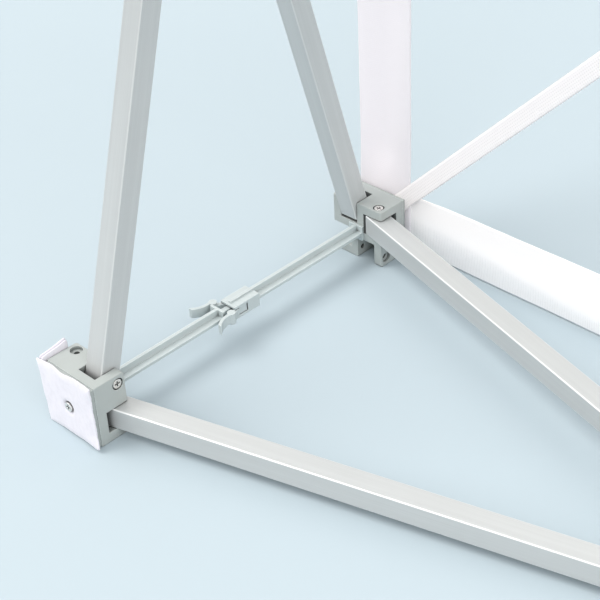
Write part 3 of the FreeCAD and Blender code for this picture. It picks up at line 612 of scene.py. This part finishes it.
def netted(name, looks, width):
    """Open webbing: rows of small holes set like bricks, with a closed upper edge that catches
    the light."""
    made = Graph(name, looks.colour, 0.8)
    made.set(Sheen_Weight=0.25, Specular_IOR_Level=0.25)
    parts = made.split(made.place("UV"))
    rows, columns = (made.wave(part, 2 * looks.pitch) for part in parts[:2])
    cells = made.times(rows, columns)
    edge =width / 2 - looks.closed
    body = made.between(parts[1], edge - looks.pitch / 2, edge, 1.0, 0.0)
    holes = made.times(made.between(made.sum("ABSOLUTE", cells), 0.5, 0.9), body)
    mesh = made.mix(holes, tint(looks.colour, 0.98), tint(looks.colour, 0.87))
    made.use("Base Color", made.mix(body, looks.colour, mesh))
    yarn = made.noise(made.place("UV", (1.0, 3.0, 1.0)), looks.yarn, 2.0)
    height = made.sum("SUBTRACT", made.times(yarn, 0.3), holes)
    made.use("Normal", made.bump(height, looks.pitch / 12, 0.5))
    return made.material


def brushed_loop(name, looks):
    """White loop cloth with a short nap, for tiles and pads, on object coordinates."""
    tone = looks.colour
    made = Graph(name, tone, 0.9)
    made.set(Sheen_Weight=0.3, Sheen_Roughness=0.5, Specular_IOR_Level=0.15)
    nap = made.noise(made.place(), looks.nap, 3.0, 0.7)
    tufts = made.noise(made.place(scale=(1.0, 1.0, 0.6)), looks.tufts, 3.0, 0.6)
    wear = made.noise(made.place(scale=(1.0, 1.0, 0.5)), looks.wear, 2.0)
    base = made.mix(made.between(tufts, 0.3, 0.65), tint(tone, 0.95), tone)
    made.use("Base Color", made.mix(made.between(wear, 0.55, 0.8), base, tint(tone, 1.04)))
    height = made.sum("ADD", made.times(nap, 0.5), tufts)
    made.use("Normal", made.bump(height, looks.relief, 0.5))
    return made.material


def laminate(name, looks):
    """Pale laminate with a fine pearl texture, faint clouds and small specks."""
    tone = looks.colour
    made = Graph(name, tone, 0.38)
    pearl = made.noise(made.place(), looks.pearls, 2.0)
    clouds = made.noise(made.place(), looks.clouds, 4.0)
    speck = made.noise(made.place(scale=(1.0, 1.0, 0.2)), looks.specks, 1.0)
    base = made.mix(made.between(clouds, 0.35, 0.65), tint(tone, 0.95), tone)
    made.use("Base Color", made.mix(made.between(speck, 0.66, 0.72), base, tint(tone, 0.82)))
    made.use("Roughness", made.between(pearl, 0.3, 0.7, 0.32, 0.46))
    made.use("Normal", made.bump(pearl, looks.relief, 0.3))
    return made.material


def edging_finish(looks):
    """Satin edging strip, with a fine grain and softly rounded edges."""
    made = Graph("edging_strip", looks.edging, 0.42)
    grain = made.noise(made.place(), 1 / looks.edging_grain, 2.0, 0.6)
    made.use("Base Color", made.mix(grain, tint(looks.edging, 0.96), tint(looks.edging, 1.04)))
    made.use("Roughness", made.between(grain, 0.3, 0.7, 0.36, 0.48))
    soft = made.soft_edges(looks.edging_edge)
    made.use("Normal", made.bump(grain, looks.edging_grain / 20, 0.3, soft))
    return made.material


# Pieces

class AddTubes(bpy.types.Operator):
    """Finish the eight square tubes"""
    bl_idname = "counter.add_tubes"
    bl_label = "Square Tubes"

    def execute(self, context):
        looks = context.scene.counter_tubes
        for node in sorted(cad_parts):
            if node.endswith("_tube"):
                dress(node, aluminium(node, looks))
        return {"FINISHED"}


class AddHubs(bpy.types.Operator):
    """Finish the eight moulded hubs"""
    bl_idname = "counter.add_hubs"
    bl_label = "Hubs"

    def execute(self, context):
        looks = context.scene.counter_hubs
        # Painted light on the hubs: edge highlight 1.7 times their colour, shade in narrow holes a tenth
        # of it.
        finish = moulded("hub_moulding", looks, cloudiness=0.02, edge_highlight=1.7, shade=0.1)
        dress_all("_hub", finish)
        return {"FINISHED"}


class AddScrews(bpy.types.Operator):
    """Finish the screws and the middle rivets"""
    bl_idname = "counter.add_screws"
    bl_label = "Screws and Rivets"

    def execute(self, context):
        dress_all(("_screws", "_rivet"), plated("screw_plating", context.scene.counter_screws))
        return {"FINISHED"}


class AddLocks(bpy.types.Operator):
    """Finish the tie rods and their release levers"""
    bl_idname = "counter.add_locks"
    bl_label = "Tie Rods and Locks"

    def execute(self, context):
        looks = context.scene.counter_locks
        # Painted light on the locks: edge highlight 1.9 times their colour, shade in narrow gaps 0.12 of
        # it.
        finish = moulded("lock_moulding", looks, cloudiness=0.02, edge_highlight=1.9, shade=0.12)
        dress_all(("_rod", "_lever"), finish)
        return {"FINISHED"}


class AddTiles(bpy.types.Operator):
    """Make the four loop tiles of the front hubs, each folded round its hub's outer side"""
    bl_idname = "counter.add_tiles"
    bl_label = "Loop Tiles"

    def execute(self, context):
        looks = context.scene.counter_tiles
        cloth = brushed_loop("tile_loop", looks)
        for level in LEVELS:
            for side in SIDES:
                add_tile(level, side, looks, cloth)
        return {"FINISHED"}


def frayed(looks, share, seed):
    """The waver of a cut edge: five sines along it, of falling size."""
    total = 0
    for count, size in ((2.3, 1.0), (5.1, 0.7), (9.7, 0.5), (17.9, 0.4), (31.0, 0.3)):
        total = total + size * np.sin(count * TURN * share + seed * (count + 1))
    return looks.fray * total


def tile_outline(looks, reach, seed):
    """The edge of a tile, as distance from the hub's middle towards its inner side, and height.

    reach holds the outer, inner, lower and upper edges. The upper edge sags in one dip near its
    middle and falls to the hub's top at the outer corner. The lower edge rises to the inner
    side and is drawn up near the fold, and the outer edge slants inwards on its way down. The
    edge starts at the outer upper corner and goes along the top first."""
    outer, inner, lower, upper = reach
    # Along an edge: where the dip and the arch are, and how far they and the fall reach
    dip_shares, arch_shares, fall_share = (0.47, 0.12), (0.32, 0.2), 0.28
    share = np.linspace(0, 1, 64, endpoint=False)
    back = 1 - share
    fall = looks.stand * 0.7 * (1 - smooth_step(share, 0, fall_share))
    sag = looks.dip * hump(share, *dip_shares) + fall
    drawn = looks.arch * hump(back, *arch_shares) + looks.lift * back
    corner = inner + looks.kick
    right = inner + frayed(looks, share, seed) - looks.bow * np.sin(math.pi * share) + looks.kick * share
    foot = outer + looks.slant
    across = np.concatenate([outer + (inner - outer) * share, right,
                             corner + (foot - corner) * share, foot + (outer - foot) * share])
    start, end = upper - sag[0], upper - sag[-1]
    upright = np.concatenate([upper - sag + frayed(looks, share, seed + 1) * 0.5,
                              end + (lower + looks.lift - end) * share,
                              lower + drawn + frayed(looks, share, seed + 2) * 0.5,
                              lower + (start - lower) * share])
    return across, upright


def tile_profile(steps=15):
    """One section of the cloth, from the well out along the hub, round the edge and back: the
    share of the way out, the bulge at the edge, and the share of the thickness."""
    out = np.linspace(0, 1, steps)
    bend = np.linspace(-math.pi / 2, math.pi / 2, 7)[1:-1]
    inner = out[::7]
    share = np.concatenate([inner, np.ones_like(bend), out[::-1]])
    roll = np.concatenate([np.zeros_like(inner), np.cos(bend), np.zeros_like(out)])
    rise = np.concatenate([np.zeros_like(inner), (1 + np.sin(bend)) / 2, np.ones_like(out)])
    return share, roll, rise


def add_tile(level, side, looks, cloth):
    """One tile: its face round the screw, and two layers folded back along the hub's side.

    A section of the face goes from the round well of the screw to the tile's edge. Its front
    is crowned, rolls off along the edges and dips at the screw; the lower inner corner flares
    off the hub."""
    node = f"{level}_{side}_loop_tile"
    seed = 1.7 + 2 * LEVELS.index(level) + SIDES.index(side)
    outward = -1 if side == "left" else 1
    body = f"front_{level}_{side}"
    low, high = corners(node)
    hub = hub_centre("front", level, side)
    hub_low, hub_high = corners(body + "_hub")
    half = (hub_high[0] - hub_low[0]) / 2
    fold_out = max(high[0] - hub[0], hub[0] - low[0])
    reach = (-fold_out, half + looks.lip, looks.hang - half, half + looks.stand)
    edge_across, edge_up = tile_outline(looks, reach, seed)
    angle = np.arctan2(edge_up, edge_across)
    well_across, well_up = looks.screw_well * np.cos(angle), looks.screw_well * np.sin(angle)
    way_across, way_up = edge_across - well_across, edge_up - well_up
    span = np.hypot(way_across, way_up)
    out, roll, rise = (values[:, None] for values in tile_profile())
    grown = out + roll * looks.thickness / 2 / span
    across = well_across + way_across * grown
    upright = well_up + way_up * grown
    from_well = np.hypot(across, upright) - looks.screw_well
    fall = np.clip((1 - out) * span / looks.roll, 0, 1)
    crown = looks.crown * np.sin(fall * math.pi / 2)
    dimple = looks.dimple * np.clip(1 - from_well / looks.dimple_reach, 0, 1) ** 2
    ripple = looks.fray * np.sin(across / looks.roll + seed) * np.cos(upright / looks.roll)
    corner = np.hypot(across - reach[1], upright - reach[2])
    notch = np.hypot(across - reach[1], upright - half)
    curled = hump(corner, 0, looks.flare_reach) + hump(notch, 0, looks.roll) / 2
    flare = looks.flare * curled
    lift =rise * (looks.thickness + crown + ripple - dimple) + flare
    points = np.stack([hub[0] - outward * across, hub_low[1] - lift, hub[2] + upright], -1)
    uv = np.stack([across, upright], -1)
    tile = surface(f"{level}_{side}_tile", points, uv, cloth, around=True, along_closed=True)
    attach(tile, body)
    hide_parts(node)
    for layer in (0, 1):
        add_fold(level, side, looks, cloth, layer, seed)


def add_fold(level, side, looks, cloth, layer, seed):
    """One layer of the folded edge: a flat bar with soft edges up the hub's side, carried along
    the hub's depth. Its ends are drawn in, and its upper and lower edges waver on the way."""
    node = f"{level}_{side}_loop_tile"
    body = f"front_{level}_{side}"
    low, high = corners(node)
    hub_low, hub_high = corners(body + "_hub")
    outward = -1 if side == "left" else 1
    hub_side = hub_low[0] if side == "left" else hub_high[0]
    half = looks.layer / 2
    middle = hub_side + outward * (half + looks.layer_gap + layer * (looks.layer + looks.layer_gap))
    run = np.linspace(hub_low[1], high[1] - (1 - layer) * looks.fray * 2, 30)[:, None]
    angle = np.linspace(0, TURN, 64, endpoint=False)[None, :]
    waver = np.sin(run / looks.roll + seed + layer) - (1 - layer)
    top = hub_high[2] + looks.stand + looks.fray * waver
    if level == "bottom":
        top = top + looks.fold_rise * (run - run[0]) / (run[-1] - run[0])
    bottom = low[2] + looks.hang + looks.fray * (1 + np.sin(run / looks.roll + 2 * seed))
    ends = np.ones_like(run)
    for row, end_share in enumerate((0.3, 0.85)):
        ends[[row, -1 - row]] = end_share
    thin =np.sign(np.cos(angle)) * np.abs(np.cos(angle)) ** (2 / 3)
    tall = np.sign(np.sin(angle)) * np.abs(np.sin(angle)) ** (2 / 9)
    across = middle + half * ends * thin * outward
    drawn_in = looks.layer * (1 - ends)
    upright = (top + bottom) / 2 + ((top - bottom) / 2 - drawn_in) * tall
    points = np.stack([across, np.broadcast_to(run, across.shape), upright], -1)
    uv = np.stack(np.broadcast_arrays(run, angle * half), -1)
    fold = surface(f"{level}_{side}_tile_fold_{layer + 1}", points, uv, cloth, around=True, capped=True)
    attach(fold, body)
    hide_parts(node)


class AddBands(bpy.types.Operator):
    """Make the four loop bands round the rear"""
    bl_idname = "counter.add_bands"
    bl_label = "Loop Bands"

    def execute(self, context):
        looks = context.scene.counter_bands
        low, high = corners("bottom_rear_band")
        width = high[2] - low[2]
        level_cloth = ribbed_loop("level_band_loop", looks, looks.level_colour, width,
                                  curl_shade=0.26, rib_shade=0.01)
        # The upright bands' darker colour is painted shade.
        upright_cloth = ribbed_loop("upright_band_loop", looks, looks.upright_shaded_colour, width,
                                    curl_shade=0, rib_shade=0.05)
        for level in LEVELS:
            add_level_band(level, looks, level_cloth)
        for side in SIDES:
            add_upright_band(side, looks, upright_cloth)
        return {"FINISHED"}


def held_flat(looks, distance, length):
    """0 where a band is clamped at its ends, 1 where it is free."""
    inner = np.minimum(distance, length - distance)
    return smooth_step(inner, looks.clamped, looks.clamped + looks.easing)


def band_waver(looks):
    """The slight waver of a band's long edges, as a function of the place on it."""
    def waver(distance, side):
        slow = np.sin(distance / looks.waver_length + side)
        return looks.waver * (slow + np.sin(distance * 3.7 / looks.waver_length) / 2)
    return waver


def add_level_band(level, looks, cloth):
    """A band along the bottom or top, whose outer part curls back and whose inner part leans
    back. The curl takes more of the width near a hub and narrows towards the middle."""
    node = f"{level}_rear_band"
    low, high = corners(node)
    length, width = high[0] - low[0], high[2] - low[2]
    outer = -1 if level == "bottom" else 1
    start = np.array([low[0], (low[1] + high[1]) / 2, (low[2] + high[2]) / 2])
    # Of half the width: the crease's place by a hub, its way outwards, and the curl's two ends
    by_hub_share, way_share, soft_share, full_share = -0.15, 0.7, 0.2, 1.5

    def stand_off(distance, side):
        free = held_flat(looks, distance, length)
        inner = np.minimum(distance, length - distance)
        crease = smooth_step(inner, looks.clamped, looks.crease_run) * way_share + by_hub_share
        curl = smooth_step(side * outer, crease - soft_share, full_share)
        sway = looks.sway * np.sin(distance / looks.sway_length) * (1 - side * outer) / 2
        lean = looks.lean * np.clip(crease - side * outer, 0, 2) / 2
        return free * (looks.curl * curl + lean + sway)

    made = strip(f"{level}_band", start, X, Z, Y, (length, width), (320, 33), stand_off,
                 band_waver(looks), cloth, outer)
    finish_band(made, node, looks, f"rear_{level}_left")


def add_upright_band(side, looks, cloth):
    """A band up one side, with a soft fold along it."""
    node = f"{side}_rear_band"
    low, high = corners(node)
    length, width = high[2] - low[2], high[0] - low[0]
    start = np.array([(low[0] + high[0]) / 2, (low[1] + high[1]) / 2, low[2]])
    outward = -1 if side == "left" else 1
    # Of half the width: where the fold starts and ends; and how much of its depth it comes back
    start_share, end_share, back_share = -0.85, 1.15, 0.9

    def stand_off(distance, across):
        free = held_flat(looks, distance, length)
        place = -across * outward
        into = smooth_step(place, start_share, 0)
        back = smooth_step(place, 0, end_share) * back_share
        sway = looks.sway * np.sin(distance / looks.sway_length) * (1 - place)
        return free * (looks.valley * (into - back) + sway)

    made = strip(f"{side}_band", start, Z, X, Y, (length, width), (320, 33), stand_off,
                 band_waver(looks), cloth, outward)
    finish_band(made, node, looks, f"rear_bottom_{side}")


def finish_band(made, node, looks, body):
    """What both kinds of band share: thickness, body, and a mesh of its own in place of the imported
    band.
    """
    thicken(made, looks.thickness)
    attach(made, body)
    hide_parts(node)
    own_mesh(made)


class AddWebbing(bpy.types.Operator):
    """Make the two diagonal webbings of the rear"""
    bl_idname = "counter.add_webbing"
    bl_label = "Diagonal Webbing"

    def execute(self, context):
        looks = context.scene.counter_webbing
        add_diagonal("rising", "bottom", "top", looks)
        add_diagonal("falling", "top", "bottom", looks)
        return {"FINISHED"}


def add_diagonal(name, from_level, to_level, looks):
    """A webbing from the left hub of one level to the right hub of the other. Its lower edge
    is looped in small scallops."""
    node = f"{name}_rear_webbing"
    first = hub_centre("rear", from_level, "left")
    last = hub_centre("rear", to_level, "right")
    run = last - first
    run[1] = 0
    along = run / np.linalg.norm(run)
    across = np.cross(along, Y)
    total = float(np.linalg.norm(run)) + 2 * looks.tail
    start = first - along * looks.tail
    low, high = corners(node)
    start[1] = (low[1] + high[1]) / 2
    size = high - low
    width =float(size[0] - total * abs(along[0])) / abs(along[2])
    rows = int(total / looks.scallop_pitch * 8)

    def stand_off(distance, side):
        return np.zeros(np.broadcast(distance, side).shape)

    def edge(distance, side):
        loop = np.abs(np.sin(math.pi * distance / looks.scallop_pitch))
        return looks.scallop * (loop - 1) * np.clip(-side, 0, 1) ** 4

    net = netted(f"{name}_webbing_net", looks, width)
    made = strip(f"{name}_webbing", start, along, across, Y, (total, width), (rows, 9), stand_off,
                 edge, net)
    thicken(made, looks.thickness)
    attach(made, f"rear_{from_level}_left")
    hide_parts(node)
    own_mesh(made)


class AddWorktop(bpy.types.Operator):
    """Finish the worktop and its edging, and make the pads that it rests on"""
    bl_idname = "counter.add_worktop"
    bl_label = "Worktop"

    def execute(self, context):
        looks = context.scene.counter_worktop
        dress("worktop_board", laminate("worktop_laminate", looks))
        dress("worktop_edging", edging_finish(looks))
        cloth = brushed_loop("pad_loop", context.scene.counter_tiles)
        for row in ("front", "rear"):
            for side in SIDES:
                add_pad(row, side, looks, cloth)
        return {"FINISHED"}


def add_pad(row, side, looks, cloth):
    """A loop pad between worktop and hub: rounded rectangles stacked up a bulging side."""
    low, high = corners("worktop_pads")
    hub = hub_centre(row, "top", side)
    half_length, half_depth, _ = high - hub_centre("rear", "top", "right") - looks.pad_bulge
    turn = np.linspace(0, TURN, 120, endpoint=False)[None, :]
    rise = np.linspace(-1, 1, 13)[:, None]
    cover_shares = np.array([0.02, 0.5, 0.93, 0.985])
    inset = np.concatenate([cover_shares, np.ones(13), cover_shares[::-1]])[:, None]
    level = np.concatenate([-np.ones((4, 1)), rise, np.ones((4, 1))])
    bulge = looks.pad_bulge * np.concatenate([np.zeros((4, 1)), 1 - rise ** 2, np.zeros((4, 1))])
    power = 12
    square = (np.abs(np.cos(turn)) ** power + np.abs(np.sin(turn)) ** power) ** (-1 / power)
    slow_share, quick_share = 0.006, 0.004
    waver = 1 + slow_share * np.sin(7 * turn + hub[0]) + quick_share * np.sin(13 * turn)
    across = hub[0] + (half_length * inset * square * waver + bulge) * np.cos(turn)
    deep = hub[1] + (half_depth * inset * square * waver + bulge) * np.sin(turn)
    middle, half = (low[2] + high[2]) / 2, (high[2] - low[2]) / 2 - looks.pad_ease
    upright = np.broadcast_to(middle + half * level, across.shape)
    points = np.stack([across, deep, upright], -1)
    uv = np.stack([across, deep], -1)
    pad = surface(f"{row}_{side}_pad", points, uv, cloth, around=True, capped=True)
    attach(pad, "worktop")
    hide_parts("worktop_pads")


# Stage

class AddStage(bpy.types.Operator):
    """Make the pale floor, the soft studio light and the camera"""
    bl_idname = "counter.add_stage"
    bl_label = "Stage"

    def execute(self, context):
        looks = context.scene.counter_stage
        add_floor(looks)
        for name in ("key", "fill"):
            add_sun(context, name, looks)
        add_sky(context, looks)
        add_camera(context, looks)
        return {"FINISHED"}


def add_floor(looks):
    """A large square floor, a hair under the hubs, as a grid of two parameters."""
    half = looks.floor_side / 2
    line = np.linspace(-half, half, 9)
    across, along = np.meshgrid(line, line)
    points = np.stack([across, along, np.full_like(across, -looks.floor_gap)], -1)
    paint = Graph("floor_paint", looks.floor, 0.85)
    paint.set(Specular_IOR_Level=0.1)
    cloud = paint.noise(paint.place(), looks.floor_clouds, 2.0)
    paint.use("Base Color", paint.mix(cloud, looks.floor, tint(looks.floor, 0.992)))
    floor = surface("stage_floor", points, points[..., :2], paint.material)


def add_sun(context, name, looks):
    """A broad lamp far off in the sky, in the direction that its settings give."""
    lamp = bpy.data.lights.new(name, "SUN")
    lamp.energy = getattr(looks, name + "_strength")
    lamp.angle = getattr(looks, name + "_softness")
    lamp.color = looks.tone
    holder = bpy.data.objects.new(name, lamp)
    context.scene.collection.objects.link(holder)
    holder.rotation_mode = "QUATERNION"
    holder.rotation_quaternion = Vector(getattr(looks, name + "_direction")).to_track_quat("Z", "Y")


def add_sky(context, looks):
    """A plain surround, dark at the horizon, lightest high up and a little less overhead. Where
    it is seen directly it is a plain pale backdrop, as the floor is."""
    world = bpy.data.worlds.new("studio")
    context.scene.world = world
    world.use_nodes = True
    nodes, links = world.node_tree.nodes, world.node_tree.links
    background = nodes["Background"]
    coordinates = nodes.new("ShaderNodeTexCoord")
    parts = nodes.new("ShaderNodeSeparateXYZ")
    ramp = nodes.new("ShaderNodeValToRGB")
    links.new(coordinates.outputs["Generated"], parts.inputs[0])
    links.new(parts.outputs["Z"], ramp.inputs[0])
    level, high = ramp.color_ramp.elements
    level.color = (looks.horizon, looks.horizon, looks.horizon, 1)
    high.position = looks.brightest
    high.color = (*looks.tone, 1)
    overhead = ramp.color_ramp.elements.new(1.0)
    overhead.color = (*tint(looks.tone, looks.zenith), 1)
    links.new(ramp.outputs[0], background.inputs[0])
    background.inputs[1].default_value = looks.sky_strength
    backdrop = nodes.new("ShaderNodeBackground")
    backdrop.inputs[0].default_value = (*looks.surround, 1)
    seen = nodes.new("ShaderNodeMixShader")
    links.new(nodes.new("ShaderNodeLightPath").outputs["Is Camera Ray"], seen.inputs[0])
    links.new(background.outputs[0], seen.inputs[1])
    links.new(backdrop.outputs[0], seen.inputs[2])
    links.new(seen.outputs[0], nodes["World Output"].inputs[0])
    context.scene.view_settings.view_transform = "Standard"


def add_camera(context, looks):
    """The camera at the photograph's viewpoint, close above the left end of the frame."""
    lens = bpy.data.cameras.new("view")
    lens.lens = looks.lens
    lens.sensor_width = looks.sensor
    lens.clip_start = looks.nearest
    camera = bpy.data.objects.new("view", lens)
    context.scene.collection.objects.link(camera)
    right = Vector((0.7175, 0.6951, -0.0451))
    down = Vector((0.3747, -0.4397, -0.8163))
    forward = Vector((-0.5872, 0.5688, -0.5759))
    place = Vector((0.1593, -0.5431, 0.6041))
    turned = Matrix((right, -down, -forward)).transposed().to_4x4()
    camera.matrix_world = Matrix.Translation(place) @ turned
    context.scene.camera = camera


PIECES = (AddTubes, AddHubs, AddLocks, AddScrews, AddTiles, AddBands, AddWebbing, AddWorktop, AddStage)


class CounterPanel(bpy.types.Panel):
    """Sizes and colours of the counter, with the operator for each group of pieces"""
    bl_label = "Promotion Counter"
    bl_idname = "COUNTER_PT_looks"
    bl_space_type = "VIEW_3D"
    bl_region_type = "UI"
    bl_category = "Counter"

    def draw(self, context):
        for piece, settings in zip(PIECES, LOOKS):
            box = self.layout.box()
            box.operator(piece.bl_idname)
            group = getattr(context.scene, settings)
            for name in group.__annotations__:
                box.prop(group, name)


CLASSES = (*LOOKS.values(), *PIECES, CounterPanel)


def register():
    for item in CLASSES:
        bpy.utils.register_class(item)
    for name, group in LOOKS.items():
        setattr(bpy.types.Scene, name, PointerProperty(type=group))


def unregister():
    for name in LOOKS:
        delattr(bpy.types.Scene, name)
    for item in reversed(CLASSES):
        bpy.utils.unregister_class(item)


def main():
    register()
    bpy.ops.counter.add_stage()
    bpy.ops.counter.add_tubes()
    bpy.ops.counter.add_hubs()
    bpy.ops.counter.add_locks()
    bpy.ops.counter.add_screws()
    bpy.ops.counter.add_tiles()
    bpy.ops.counter.add_bands()
    bpy.ops.counter.add_webbing()
    bpy.ops.counter.add_worktop()


if __name__ == "__main__":
    main()
